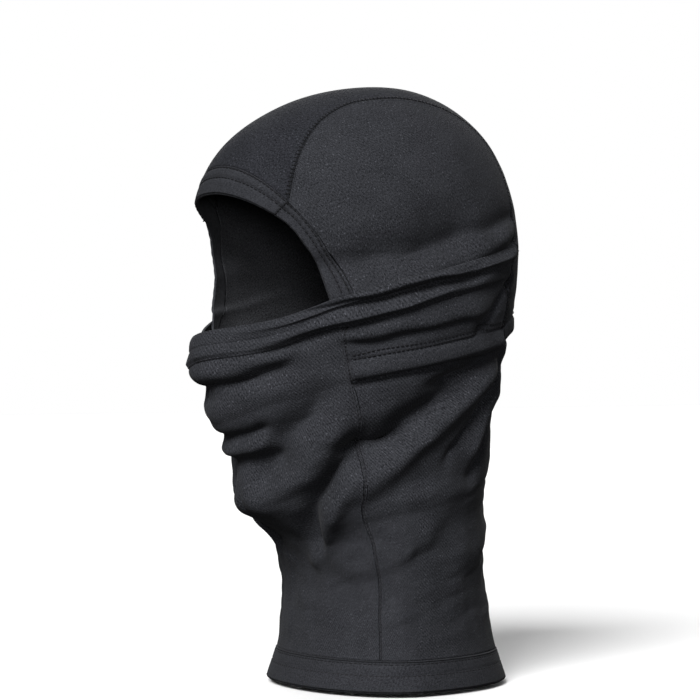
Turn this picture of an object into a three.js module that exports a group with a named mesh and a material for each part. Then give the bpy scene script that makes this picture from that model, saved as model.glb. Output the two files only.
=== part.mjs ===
// Full face balaclava in black jersey: a hood of a gusset and two side panels with a hemmed
// face opening, and a mask with a folded top band that runs on into the neck tube.
// Millimetres, +Z up, origin on the inside of the crown. The wearer faces -Y, and the
// wearer's left is +X.
import * as THREE from 'three';

// Driving sizes of the inside surface, where it lies on the head and neck
const hoodLength = 346; // crown to bottom edge
const crownDepth = 96; // crown to the widest level
const halfWidth = 78; // at the widest level
const frontDepth = 100; // axis to forehead at the widest level
const backDepth = 99; // axis to the back of the head at the widest level
const apexSetback = 10; // how far the crown lies behind the axis
const browHeight = 5.5;
const noseHeight = 17;
const noseSpread = 19; // degrees either side

// Driving sizes of the cloth
const wall = 1.5;
const hemWall = 2.4; // two layers, pressed flat
const jawHemTurn = 0.8; // what the turned edge adds
const jawHemRoll = 1.8; // how far it puffs out between its stitches and its edge
const jawHemWidth = 13;
const bottomHemWidth = 18;
const seamGap = 0.4; // between panels that meet edge to edge
const layerGap = 0.5; // between cloths that lie on each other
const rollHeight = 4.5; // soft rolls of the band beside the cheeks
const foldDepth = 5; // deepest fold of the mask and neck
const foldWidth = 10; // half width of a broad fold

// Mesh density
const hoodSteps = 30;
const jawOverlapSteps = 2; // of the hood's steps, lie over the neck panels
const sideColumns = 11;
const crownColumns = 8;
const bandRows = 8;
const bandColumns = 44;
const maskColumns = 18;
const lowerSteps = 19;
const ringColumns = 52;

// A level is 0 at the crown, 1 at the widest ring and 2 at the bottom edge. An angle is in
// degrees from the front, towards the wearer's left.
const fullness = { front: 2.1, side: 2.25, back: 2.13 };
const brow = { level: 0.62, spread: 0.21 };

// Sections below the widest ring: shares of halfWidth, frontDepth, backDepth and noseHeight
const sections = {
  columns: ['level', 'half', 'front', 'back', 'nose'],
  rows: [
    [1.0, 1.0, 1.0, 1.0, 0.0],
    [1.116, 0.987, 0.96, 0.965, 0.1],
    [1.184, 0.968, 0.93, 0.914, 0.45],
    [1.248, 0.936, 0.915, 0.884, 0.8],
    [1.296, 0.91, 0.905, 0.864, 0.78],
    [1.344, 0.885, 0.885, 0.843, 0.38],
    [1.4, 0.859, 0.84, 0.818, 0.4],
    [1.448, 0.84, 0.78, 0.798, 0.35],
    [1.504, 0.82, 0.71, 0.776, 0.42],
    [1.576, 0.8, 0.65, 0.763, 0.48],
    [1.616, 0.788, 0.56, 0.76, 0.24],
    [1.664, 0.776, 0.43, 0.76, 0.0],
    [1.756, 0.77, 0.34, 0.778, 0.0],
    [1.896, 0.808, 0.36, 0.838, 0.0],
    [2.0, 0.897, 0.44, 0.919, 0.0],
  ],
};

// Ribs of the hood, from the forehead corner to the jaw: where each leaves the face opening
// or cheek seam, where it meets the crown seam, and its place on the centre line, which is
// negative in front of the crown
const hoodRibs = {
  columns: ['share', 'faceAngle', 'faceLevel', 'seamAngle', 'seamLevel', 'centre'],
  rows: [
    [0.0, 44.5, 0.897, 39.6, 0.849, -0.682],
    [0.06, 45.8, 0.913, 40.9, 0.714, -0.564],
    [0.13, 47.2, 0.93, 44.5, 0.486, -0.4],
    [0.2, 48.8, 0.95, 57.0, 0.346, -0.229],
    [0.27, 50.4, 0.971, 84.0, 0.306, -0.057],
    [0.34, 52.0, 0.996, 112.0, 0.357, 0.114],
    [0.41, 53.8, 1.018, 130.0, 0.471, 0.286],
    [0.48, 56.0, 1.04, 136.5, 0.629, 0.45],
    [0.56, 58.6, 1.068, 137.0, 0.8, 0.621],
    [0.64, 61.0, 1.1, 135.2, 0.929, 0.757],
    [0.72, 62.0, 1.13, 134.0, 1.012, 0.864],
    [0.8, 60.0, 1.16, 133.0, 1.056, 0.971],
    [0.88, 57.8, 1.2, 132.2, 1.114, 1.056],
    [0.94, 59.3, 1.247, 131.7, 1.166, 1.124],
    [1.0, 60.8, 1.294, 131.3, 1.218, 1.188],
  ],
};

// Edge of the face opening beside each rib
const faceEdge = {
  columns: ['share', 'angle', 'level'],
  rows: [
    [0.0, 38.5, 0.918],
    [0.13, 42.0, 0.95],
    [0.27, 45.3, 0.989],
    [0.41, 48.3, 1.02],
    [0.56, 51.0, 1.066],
    [0.72, 53.6, 1.12],
    [0.8, 54.4, 1.156],
    [0.9, 52.6, 1.212],
  ],
};
const browCorner = { angle: 34.5, level: 0.893 }; // face edge where the crown seam ends
const browCentre = -0.8; // face edge on the centre line

// The hood is worn a little askew: beside the opening its far half is turned back by these
// degrees, or forward where they are negative
const askew = {
  columns: ['level', 'turn'],
  rows: [
    [0.0, 0.0],
    [0.6, 0.0],
    [0.7, 3.0],
    [0.78, 8.0],
    [0.84, 14.0],
    [0.88, 13.0],
    [0.906, 10.5],
    [0.93, 8.5],
    [0.98, 5.3],
    [1.034, 1.0],
    [1.076, -2.0],
    [1.118, -6.5],
    [1.146, -10.5],
    [1.18, -12.0],
    [1.25, -8.0],
    [1.4, 0.0],
    [2.0, 0.0],
  ],
};
const askewMost = { angle: -50, spread: 24 };

// Band over the nose and round both cheeks to the crown seam, from the wearer's right to left
const band = {
  columns: ['angle', 'top', 'bottom', 'roll'],
  rows: [
    [-132, 1.0, 1.056, 0.45],
    [-115, 1.03, 1.092, 0.8],
    [-100, 1.06, 1.122, 0.95],
    [-90, 1.085, 1.149, 1.0],
    [-78, 1.114, 1.18, 1.0],
    [-64, 1.148, 1.213, 0.8],
    [-54, 1.17, 1.235, 0.4],
    [-44, 1.186, 1.25, 0.1],
    [-30, 1.198, 1.262, 0.0],
    [-14, 1.202, 1.264, 0.0],
    [0, 1.188, 1.252, 0.0],
    [16, 1.173, 1.238, 0.0],
    [36, 1.15, 1.212, 0.0],
    [48, 1.124, 1.189, 0.1],
    [54, 1.11, 1.178, 0.3],
    [64, 1.1, 1.164, 0.8],
    [78, 1.076, 1.144, 1.0],
    [90, 1.058, 1.12, 1.0],
    [100, 1.042, 1.102, 0.95],
    [115, 1.018, 1.08, 0.8],
    [132, 0.996, 1.052, 0.45],
  ],
};

// Seam between the mask and the neck, from the jaw down to the bottom hem
const throatSeam = {
  columns: ['share', 'angle'],
  rows: [
    [0.0, 60.8],
    [0.06, 62.6],
    [0.13, 63.8],
    [0.33, 63.0],
    [0.52, 60.0],
    [0.7, 59.0],
    [1.0, 59.0],
  ],
};
const maskTop = 1.215; // centre of the mask's upper edge, under the band
const maskSag = 0.024; // how much lower a row lies on the centre line than at the jaw seam

// Where the hem of the opening ends and the mask begins under the band, as shares of the ribs
const underBand = { hemEnd: 0.78, maskStart: 0.8, farHemEnd: 0.87, farMaskStart: 0.9 };

// Folds of the cloth on each half, from one end to the other. Sag is a share of the fold's
// span, height a share of foldDepth (a valley is negative), upper and lower of foldWidth.
const folds = {
  columns: ['fromAngle', 'fromLevel', 'toAngle', 'toLevel', 'sag', 'height', 'upper', 'lower'],
  rows: [
    // above and below the band, beside the ear
    [46, 1.075, 130, 0.92, 0.0, -0.4, 0.9, 0.7],
    [72, 1.06, 142, 0.925, 0.0, 0.45, 0.7, 0.7],
    [92, 1.0, 144, 0.815, 0.02, 0.3, 1.0, 0.8],
    [52, 1.2, 116, 1.128, 0.0, 0.35, 0.5, 0.5],
    // under the jaw
    [104, 1.26, 60, 1.46, 0.0, -0.7, 0.6, 0.8],
    [136, 1.225, 78, 1.49, 0.0, 0.75, 0.6, 0.6],
    [142, 1.225, 100, 1.5, 0.0, -0.6, 0.5, 0.5],
    [144, 1.27, 112, 1.49, 0.0, 0.65, 0.6, 0.7],
    // nose, mouth, chin and throat
    [-14, 1.304, 46, 1.208, 0.0, 0.5, 0.5, 0.5],
    [-14, 1.346, 46, 1.25, 0.0, -0.55, 0.5, 0.5],
    [-14, 1.384, 46, 1.296, 0.0, 0.5, 0.7, 0.8],
    [-14, 1.44, 50, 1.328, 0.08, -0.55, 0.5, 0.5],
    [-14, 1.464, 30, 1.416, 0.0, 0.35, 0.5, 0.5],
    [-14, 1.488, 56, 1.368, 0.14, -0.6, 0.5, 0.5],
    [-10, 1.544, 66, 1.344, 0.09, 0.7, 0.8, 0.6],
    [68, 1.38, 20, 1.64, 0.0, -0.95, 0.7, 0.7],
    [72, 1.42, 10, 1.66, 0.07, 0.7, 0.6, 0.7],
    // slack of the neck tube
    [70, 1.56, 170, 1.44, 0.06, 0.5, 1.2, 1.0],
    [20, 1.72, 110, 1.6, 0.08, 0.45, 1.2, 1.1],
    [100, 1.7, 176, 1.6, 0.05, 0.45, 1.3, 1.1],
  ],
};
const farSideShift = 0.015; // the folds of the right half lie a little lower
const farSideShare = 0.85; // and are a little shallower

// Sizes that follow
const lowerDepth = hoodLength - crownDepth;
const bottomHemTop = 2 - bottomHemWidth / lowerDepth;
const crownArc = crownDepth * 1.46; // from the crown to the widest ring, over the side
const degree = (halfWidth * 0.94 * Math.PI) / 180; // millimetres to a degree, at mean radius
const cloth = [0, wall];
const hemCloth = [wall / 2 - hemWall / 2, wall / 2 + hemWall / 2];
const bandInside = Math.max(hemCloth[1], wall) + layerGap;
const bandCloth = [bandInside, bandInside + wall];
const underCloth = [-layerGap - wall, -layerGap];

// Monotone cubic through a table's rows, one function for each column after the first
function curvesOf(table) {
  const keys = table.rows.map((row) => row[0]);
  const found = {};
  table.columns.slice(1).forEach((name, index) => {
    const values = table.rows.map((row) => row[index + 1]);
    const slopes = keys.slice(1).map((key, i) => (values[i + 1] - values[i]) / (key - keys[i]));
    const tangents = values.map((value, i) => {
      if (i === 0 || i === values.length - 1) return slopes[Math.min(i, slopes.length - 1)];
      const [before, after] = [slopes[i - 1], slopes[i]];
      return before * after > 0 ? (2 * before * after) / (before + after) : 0;
    });
    found[name] = (key) => {
      let i = keys.findIndex((limit) => key < limit) - 1;
      if (i < 0) i = key < keys[0] ? 0 : keys.length - 2;
      const span = keys[i + 1] - keys[i];
      const s = (key - keys[i]) / span;
      const rise = (1 + 2 * s) * (1 - s) ** 2 * values[i] + s * s * (3 - 2 * s) * values[i + 1];
      return rise + span * (s * (1 - s) ** 2 * tangents[i] + s * s * (s - 1) * tangents[i + 1]);
    };
  });
  return found;
}
const section = curvesOf(sections);
const rib = curvesOf(hoodRibs);
const edge = curvesOf(faceEdge);
const bandAt = curvesOf(band);
const askewAt = curvesOf(askew);
const throat = curvesOf(throatSeam);
const jawLevel = rib.faceLevel(1);
const jawRun = ((jawLevel - rib.faceLevel(0.88)) * lowerDepth) / 0.12; // millimetres to a share

const { lerp, degToRad, radToDeg, smoothstep } = THREE.MathUtils;

// The hood is spread out flat round the crown: a place is a Vector2 whose length is the
// level and whose direction is the angle.
function placeAt(angle, level) {
  return new THREE.Vector2(level * Math.sin(degToRad(angle)), -level * Math.cos(degToRad(angle)));
}
const angleOf = (place) => radToDeg(Math.atan2(place.x, -place.y));
const mirrored = (place) => new THREE.Vector2(-place.x, place.y);

// Head and neck form: superellipse arcs over the crown, sections below
function headForm(place) {
  const level = place.length();
  const worn = angleOf(place);
  const beside = Math.exp(-(((worn - askewMost.angle) / askewMost.spread) ** 2));
  const angle = degToRad(worn - askewAt.turn(level) * beside * smoothstep(-worn, 0, 12));
  const [sine, cosine] = [Math.sin(angle), Math.cos(angle)];
  const depthways = cosine > 0 ? fullness.front : fullness.back;
  const power = 2 / (fullness.side * sine * sine + depthways * cosine * cosine);
  const turn = Math.min(level, 1) * (Math.PI / 2);
  const ring = level < 1 ? Math.sin(turn) ** power : 1;
  const share = level < 1 ? 1 - Math.cos(turn) ** power : 1;
  const lower = Math.max(level, 1);
  const drop = share * crownDepth + (lower - 1) * lowerDepth;
  const depth = cosine > 0 ? frontDepth * section.front(lower) : backDepth * section.back(lower);
  const swell = Math.exp(-(((level - brow.level) / brow.spread) ** 2)) * Math.max(cosine, 0) ** 2;
  const nose = section.nose(lower) * Math.exp(-((radToDeg(angle) / noseSpread) ** 2));
  return new THREE.Vector3(
    halfWidth * section.half(lower) * ring * sine,
    apexSetback * (1 - ring ** 1.44) - depth * ring * cosine - browHeight * swell - noseHeight * nose,
    -drop,
  );
}

// Outward normal of a surface over the flat places, by differences
function normalOf(surface, place) {
  const step = 0.004;
  const across = new THREE.Vector2(step, 0);
  const along = new THREE.Vector2(0, step);
  const dx = surface(place.clone().add(across)).sub(surface(place.clone().sub(across)));
  const dy = surface(place.clone().add(along)).sub(surface(place.clone().sub(along)));
  return dx.cross(dy).normalize();
}

// Length of cloth from the crown down to a level
const arcOf = (level) => (level < 1 ? level * crownArc : crownArc + (level - 1) * lowerDepth);

// Height of the folds at a place: each is a rounded ridge or valley along a sagging line
function foldHeight(place) {
  const angle = angleOf(place);
  const side = Math.abs(angle);
  const far = angle < 0 ? smoothstep(side, 0, 25) : 0;
  const level = place.length() - far * farSideShift;
  const total = folds.rows.reduce((sum, row) => {
    const [fromAngle, fromLevel, toAngle, toLevel, sag, height, upper, lower] = row;
    const from = new THREE.Vector2(fromAngle * degree, arcOf(fromLevel));
    const chord = new THREE.Vector2(toAngle * degree, arcOf(toLevel)).sub(from);
    const here = new THREE.Vector2(side * degree, arcOf(level)).sub(from);
    const span = chord.length();
    const share = here.dot(chord) / span ** 2;
    const down = (here.cross(chord) / span) * -Math.sign(chord.x);
    const offset = down - 4 * sag * span * share * (1 - share);
    const width = foldWidth * (offset < 0 ? upper : lower);
    const fade = smoothstep(share, 0, 0.25) * smoothstep(1 - share, 0, 0.25);
    return sum + fade * height * foldDepth * Math.exp(-((offset / width) ** 2));
  }, 0);
  return total * lerp(1, farSideShare, far);
}

// Folds fade out over the crown and towards the pressed bottom hem
function clothForm(place) {
  const level = place.length();
  const calm = smoothstep(level, 0.55, 0.8) * (1 - smoothstep(level, 1.84, bottomHemTop));
  const lift = calm > 0 ? calm * foldHeight(place) : 0;
  return headForm(place).addScaledVector(normalOf(headForm, place), lift);
}

// A closed sheet over a grid of places, between two heights above the cloth form. Edges
// named in inset draw back from a seam.
function sheet({ name, color, rows, columns, place, layer, inset = {}, ring = false }) {
  const grid = [];
  for (let i = 0; i <= rows; i += 1) {
    grid.push(Array.from({ length: columns + (ring ? 0 : 1) }, (_, j) => place(i, j)));
  }
  const width = grid[0].length;
  const bare = grid.map((line) => line.map((at) => headForm(at)));
  const drawBack = (i, j, di, dj, distance) => {
    const [before, after] = di
      ? [bare[i][Math.max(j - 1, 0)], bare[i][Math.min(j + 1, width - 1)]]
      : [bare[Math.max(i - 1, 0)][j], bare[Math.min(i + 1, rows)][j]];
    const tangent = after.clone().sub(before).normalize();
    const inward = bare[i + di][j + dj].clone().sub(bare[i][j]);
    const clear = tangent.cross(inward).length();
    if (clear > 0.3 * inward.length()) grid[i][j].lerp(grid[i + di][j + dj], distance / clear);
  };
  for (let j = 0; j < width; j += 1) {
    if (inset.top) drawBack(0, j, 1, 0, inset.top);
    if (inset.bottom) drawBack(rows, j, -1, 0, inset.bottom);
  }
  for (let i = 0; i <= rows; i += 1) {
    if (inset.start) drawBack(i, 0, 0, 1, inset.start);
    if (inset.end) drawBack(i, width - 1, 0, -1, inset.end);
  }
  const points = [];
  for (const side of [0, 1]) {
    grid.forEach((line, i) => line.forEach((at, j) => {
      const height = layer(at, i / rows, j / columns)[side];
      points.push(clothForm(at).addScaledVector(normalOf(clothForm, at), height));
    }));
  }
  const index = (side, i, j) => side * (rows + 1) * width + i * width + (j % width);
  const faces = [];
  const quad = (a, b, c, d) => faces.push(a, b, c, a, c, d);
  for (let i = 0; i < rows; i += 1) {
    for (let j = 0; j < columns; j += 1) {
      quad(index(1, i, j), index(1, i, j + 1), index(1, i + 1, j + 1), index(1, i + 1, j));
      quad(index(0, i, j), index(0, i + 1, j), index(0, i + 1, j + 1), index(0, i, j + 1));
    }
  }
  for (let j = 0; j < columns; j += 1) {
    quad(index(0, 0, j), index(0, 0, j + 1), index(1, 0, j + 1), index(1, 0, j));
    quad(index(1, rows, j), index(1, rows, j + 1), index(0, rows, j + 1), index(0, rows, j));
  }
  for (let i = 0; i < rows && !ring; i += 1) {
    quad(index(1, i, 0), index(1, i + 1, 0), index(0, i + 1, 0), index(0, i, 0));
    quad(index(0, i, columns), index(0, i + 1, columns), index(1, i + 1, columns), index(1, i, columns));
  }
  const geometry = new THREE.BufferGeometry().setFromPoints(points);
  geometry.setIndex(faces);
  if (volumeOf(points, faces) < 0) geometry.setIndex(faces.reverse());
  geometry.computeVertexNormals();
  const material = new THREE.MeshStandardMaterial({ color, roughness: 0.9, metalness: 0 });
  material.name = name;
  const mesh = new THREE.Mesh(geometry, material);
  mesh.name = name;
  return mesh;
}

// Six times the signed volume, which is positive when the faces point out
function volumeOf(points, faces) {
  let sum = 0;
  for (let k = 0; k < faces.length; k += 3) {
    const [a, b, c] = [points[faces[k]], points[faces[k + 1]], points[faces[k + 2]]];
    sum += a.dot(b.clone().cross(c));
  }
  return sum;
}

// A line from a seam on the left over the centre line to its mirror on the right
function acrossPlace(seam, centre, w) {
  return new THREE.Vector2(seam.x * w, lerp(centre, seam.y, w * w));
}

const jersey = 0x2c2d30;
const halfGap = seamGap / 2;
const ribShare = (i) => i / hoodSteps;

// Gusset from the forehead over the crown and down the nape
function centrePanel() {
  return sheet({
    name: 'centre_panel',
    color: jersey,
    rows: hoodSteps,
    columns: crownColumns,
    place: (i, j) => {
      const share = ribShare(i);
      const seam = placeAt(rib.seamAngle(share), rib.seamLevel(share));
      return acrossPlace(seam, rib.centre(share), 1 - (2 * j) / crownColumns);
    },
    layer: (at, down) => jawHemLayer(down),
    inset: { top: halfGap, start: halfGap, end: halfGap },
  });
}

// The hood's lower edge is turned and stitched, so it is thicker there, and it puffs out in
// a roll below the stitches
function jawHemLayer(down) {
  const turned = smoothstep(down, 1 - (1.3 * jawHemWidth) / jawRun, 1 - jawHemWidth / jawRun);
  const below = Math.min(((1 - down) * jawRun) / jawHemWidth, 1);
  const roll = jawHemRoll * Math.sin(Math.PI * below);
  return [cloth[0] + roll, cloth[1] + jawHemTurn * turned + roll];
}

function sidePlace(i, j) {
  const [share, w] = [ribShare(i), j / sideColumns];
  return placeAt(
    lerp(rib.faceAngle(share), rib.seamAngle(share), w),
    lerp(rib.faceLevel(share), rib.seamLevel(share), w),
  );
}

// Hood side from the face opening to the crown seam
function sidePanel(name, turn) {
  return sheet({
    name,
    color: jersey,
    rows: hoodSteps,
    columns: sideColumns,
    place: (i, j) => turn(sidePlace(i, j)),
    layer: (at, down) => jawHemLayer(down),
    inset: { top: halfGap, start: halfGap, end: halfGap },
  });
}

// Hem of the face opening: up one cheek, over the brow and down the other cheek
function faceHem() {
  const near = Math.round(underBand.hemEnd * hoodSteps);
  const far = Math.round(underBand.farHemEnd * hoodSteps);
  const columns = near + far + 2 + crownColumns;
  const cheekPlace = (i, w) => {
    const share = ribShare(i);
    const border = placeAt(rib.faceAngle(share), rib.faceLevel(share));
    return border.lerp(placeAt(edge.angle(share), edge.level(share)), w);
  };
  return sheet({
    name: 'face_hem',
    color: jersey,
    rows: 2,
    columns,
    place: (i, j) => {
      const w = i / 2;
      if (j <= near) return cheekPlace(near - j, w);
      if (j >= columns - far) return mirrored(cheekPlace(j - columns + far, w));
      const share = 1 - (2 * (j - near - 1)) / crownColumns;
      const border = acrossPlace(placeAt(rib.seamAngle(0), rib.seamLevel(0)), rib.centre(0), share);
      const rim = acrossPlace(placeAt(browCorner.angle, browCorner.level), browCentre, share);
      return border.lerp(rim, w);
    },
    layer: () => hemCloth,
    inset: { top: halfGap },
  });
}

// Folded top of the mask: flat over the nose, two soft rolls beside each cheek
function maskBand() {
  const reach = 132;
  return sheet({
    name: 'mask_band',
    color: jersey,
    rows: bandRows,
    columns: bandColumns,
    place: (i, j) => {
      const angle = lerp(reach, -reach, j / bandColumns);
      return placeAt(angle, lerp(bandAt.top(angle), bandAt.bottom(angle), i / bandRows));
    },
    layer: (at, down) => {
      const roll = bandAt.roll(angleOf(at));
      const lift = rollHeight * roll * (0.5 - 0.5 * Math.cos(4 * Math.PI * down));
      return bandCloth.map((height) => height + lift);
    },
  });
}

// Front of the mask between the two cheek and throat seams, down to the bottom hem
function maskPanel() {
  const cheekSteps = Math.round((1 - underBand.maskStart) * hoodSteps);
  const seamPlace = (i, w) => {
    if (i >= cheekSteps) {
      const share = (i - cheekSteps) / lowerSteps;
      const level = lerp(jawLevel, bottomHemTop, share);
      return [throat.angle(share), level, level + maskSag * (1 - share)];
    }
    const start = lerp(underBand.maskStart, underBand.farMaskStart, smoothstep(-w, 0, 1));
    const share = lerp(start, 1, i / cheekSteps);
    const centre = lerp(maskTop, jawLevel + maskSag, i / cheekSteps);
    return [rib.faceAngle(share), rib.faceLevel(share), centre];
  };
  return sheet({
    name: 'mask_panel',
    color: jersey,
    rows: cheekSteps + lowerSteps,
    columns: maskColumns,
    place: (i, j) => {
      const w = 1 - (2 * j) / maskColumns;
      const [angle, level, centre] = seamPlace(i, w);
      return placeAt(w * angle, lerp(centre, level, w * w));
    },
    layer: () => cloth,
    inset: { start: halfGap, end: halfGap, bottom: halfGap },
  });
}

// Neck tube from under the hood's edge to the bottom hem, round to the centre back
function neckSide(name, turn) {
  const backColumns = crownColumns / 2;
  const hoodPlace = (i, j) => {
    if (j <= sideColumns) return sidePlace(i, j);
    const share = ribShare(i);
    const seam = placeAt(rib.seamAngle(share), rib.seamLevel(share));
    return acrossPlace(seam, rib.centre(share), 1 - (j - sideColumns) / backColumns);
  };
  return sheet({
    name,
    color: jersey,
    rows: jawOverlapSteps + lowerSteps,
    columns: sideColumns + backColumns,
    place: (i, j) => {
      if (i < jawOverlapSteps) return turn(hoodPlace(hoodSteps - jawOverlapSteps + i, j));
      const start = hoodPlace(hoodSteps, j);
      const startAngle = angleOf(start);
      const startLevel = start.length();
      const share = (i - jawOverlapSteps) / lowerSteps;
      const fromBack = (180 - startAngle) / (180 - throat.angle(0));
      const angle = startAngle + (throat.angle(share) - throat.angle(0)) * fromBack;
      return turn(placeAt(angle, lerp(startLevel, bottomHemTop, share)));
    },
    layer: (at, down) => {
      const below = down * (jawOverlapSteps + lowerSteps) - jawOverlapSteps;
      const out = smoothstep(below, 0, 3);
      return cloth.map((height, side) => lerp(underCloth[side], height, out));
    },
    inset: { start: halfGap, end: halfGap, bottom: halfGap },
  });
}

// Turned hem round the bottom of the neck tube
function neckHem() {
  return sheet({
    name: 'neck_hem',
    color: jersey,
    rows: 2,
    columns: ringColumns,
    place: (i, j) => placeAt((360 * j) / ringColumns, lerp(bottomHemTop, 2, i / 2)),
    layer: () => hemCloth,
    inset: { top: halfGap },
    ring: true,
  });
}

const balaclava = new THREE.Group();
const same = (place) => place;
balaclava.add(
  centrePanel(),
  sidePanel('side_panel_left', same),
  sidePanel('side_panel_right', mirrored),
  faceHem(),
  maskBand(),
  maskPanel(),
  neckSide('neck_side_left', same),
  neckSide('neck_side_right', mirrored),
  neckHem(),
);

export default balaclava;
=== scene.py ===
import math

import bpy
import numpy as np
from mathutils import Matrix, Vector


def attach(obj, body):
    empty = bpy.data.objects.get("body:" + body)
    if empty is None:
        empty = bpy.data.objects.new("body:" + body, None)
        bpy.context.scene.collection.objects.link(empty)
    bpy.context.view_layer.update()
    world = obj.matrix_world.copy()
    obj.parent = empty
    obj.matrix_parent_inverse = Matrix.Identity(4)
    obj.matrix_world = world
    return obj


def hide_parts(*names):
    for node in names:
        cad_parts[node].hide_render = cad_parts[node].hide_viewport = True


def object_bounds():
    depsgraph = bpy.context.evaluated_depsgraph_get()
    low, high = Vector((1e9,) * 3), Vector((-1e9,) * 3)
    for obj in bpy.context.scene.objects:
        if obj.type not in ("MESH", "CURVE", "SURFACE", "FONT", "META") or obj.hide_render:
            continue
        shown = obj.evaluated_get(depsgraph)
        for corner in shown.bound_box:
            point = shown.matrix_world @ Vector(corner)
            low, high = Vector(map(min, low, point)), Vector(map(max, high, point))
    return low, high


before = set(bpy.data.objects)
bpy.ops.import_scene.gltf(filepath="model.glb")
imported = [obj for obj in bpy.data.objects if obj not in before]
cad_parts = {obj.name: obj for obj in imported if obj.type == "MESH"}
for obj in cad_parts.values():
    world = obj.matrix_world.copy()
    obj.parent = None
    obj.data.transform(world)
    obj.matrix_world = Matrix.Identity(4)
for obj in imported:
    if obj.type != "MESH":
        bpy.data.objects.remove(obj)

cad_box = [list(map(float, corner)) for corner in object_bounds()]

# View and studio
# The hood is seen from its own front left, level with the cheek, from 1.6 m away. It
# stands over a pale floor in soft light, with the main lamp above and to the left of the view.
VIEW_AZIMUTH = math.radians(58)
VIEW_DISTANCE = 1.6
VIEW_HEIGHT = -0.1524
VIEW_ASIDE = -0.0047
LENS, SENSOR = 140.7, 36
camera_back = Vector((math.sin(VIEW_AZIMUTH), -math.cos(VIEW_AZIMUTH), 0))
camera_right = Vector((math.cos(VIEW_AZIMUTH), math.sin(VIEW_AZIMUTH), 0))
aim = Vector((0, 0, VIEW_HEIGHT)) + camera_right * VIEW_ASIDE
camera = bpy.data.objects.new("camera", bpy.data.cameras.new("camera"))
camera.data.lens = LENS
camera.data.sensor_width = SENSOR
camera.location = aim + camera_back * VIEW_DISTANCE
camera.rotation_euler = (math.pi / 2, 0, VIEW_AZIMUTH)
bpy.context.scene.collection.objects.link(camera)
bpy.context.scene.camera = camera
bpy.context.scene.view_settings.view_transform = "Standard"

LAMPS = {  # towards the right, towards the camera, up, apparent size in degrees, strength
    "key": (-0.27, 0.75, 0.57, 30.0, 5.45),
    "front": (0.05, 1.0, 0.02, 14.0, 1.1),
    "behind": (0.1, -1.0, 0.4, 50.0, 1.6),
}
for name, (right, back, up, spread, strength) in LAMPS.items():
    lamp = bpy.data.objects.new(name, bpy.data.lights.new(name, "SUN"))
    towards = camera_right * right + camera_back * back + Vector((0, 0, up))
    lamp.location = aim + towards
    lamp.rotation_euler = towards.to_track_quat("Z", "Y").to_euler()
    lamp.data.angle = math.radians(spread)
    lamp.data.energy = strength
    bpy.context.scene.collection.objects.link(lamp)

DOME, HORIZON, BELOW = 0.12, 0.075, 0.03
FADE_FROM, FADE_TO = -0.4, 0.8
world = bpy.data.worlds.new("studio")
world.use_nodes = True
studio = world.node_tree
backdrop = studio.nodes["Background"]
backdrop.inputs["Color"].default_value = (1, 1, 1, 1)
dome = studio.nodes.new("ShaderNodeBackground")
height = studio.nodes.new("ShaderNodeSeparateXYZ")
fade = studio.nodes.new("ShaderNodeValToRGB")
for position, strength in ((0.0, BELOW), (0.5, HORIZON)):
    stop = fade.color_ramp.elements[0] if position == 0 else fade.color_ramp.elements.new(position)
    stop.color = (strength, strength, strength, 1)
fade.color_ramp.elements[-1].color = (DOME, DOME, DOME, 1)
level = studio.nodes.new("ShaderNodeMapRange")
level.inputs["From Min"].default_value = FADE_FROM
level.inputs["From Max"].default_value = FADE_TO
direction = studio.nodes.new("ShaderNodeTexCoord")
sight = studio.nodes.new("ShaderNodeLightPath")
choice = studio.nodes.new("ShaderNodeMixShader")
studio.links.new(direction.outputs["Generated"], height.inputs[0])
studio.links.new(height.outputs["Z"], level.inputs["Value"])
studio.links.new(level.outputs[0], fade.inputs[0])
studio.links.new(fade.outputs[0], dome.inputs["Color"])
studio.links.new(sight.outputs["Is Camera Ray"], choice.inputs[0])
studio.links.new(dome.outputs[0], choice.inputs[1])
studio.links.new(backdrop.outputs[0], choice.inputs[2])
studio.links.new(choice.outputs[0], studio.nodes["World Output"].inputs["Surface"])
bpy.context.scene.world = world

FLOOR_SIZE = 12.0
FLOOR_BELOW = 0.002
FLOOR_GREY, FLOOR_ROUGHNESS = 0.9, 0.9
floor_mesh = bpy.data.meshes.new("floor")
half_floor = FLOOR_SIZE / 2
floor_height = cad_box[0][2] - FLOOR_BELOW
floor_mesh.from_pydata(
    [(x, y, floor_height) for x, y in ((-half_floor, -half_floor), (half_floor, -half_floor),
                                       (half_floor, half_floor), (-half_floor, half_floor))],
    [], [(0, 1, 2, 3)],
)
floor = bpy.data.objects.new("floor", floor_mesh)
bpy.context.scene.collection.objects.link(floor)
floor_paint = bpy.data.materials.new("floor_paint")
floor_paint.use_nodes = True
floor_shader = floor_paint.node_tree.nodes["Principled BSDF"]
floor_shader.inputs["Base Color"].default_value = (FLOOR_GREY, FLOOR_GREY, FLOOR_GREY, 1)
floor_shader.inputs["Roughness"].default_value = FLOOR_ROUGHNESS
floor_mesh.materials.append(floor_paint)
floor.visible_diffuse = False
floor.visible_glossy = False

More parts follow.
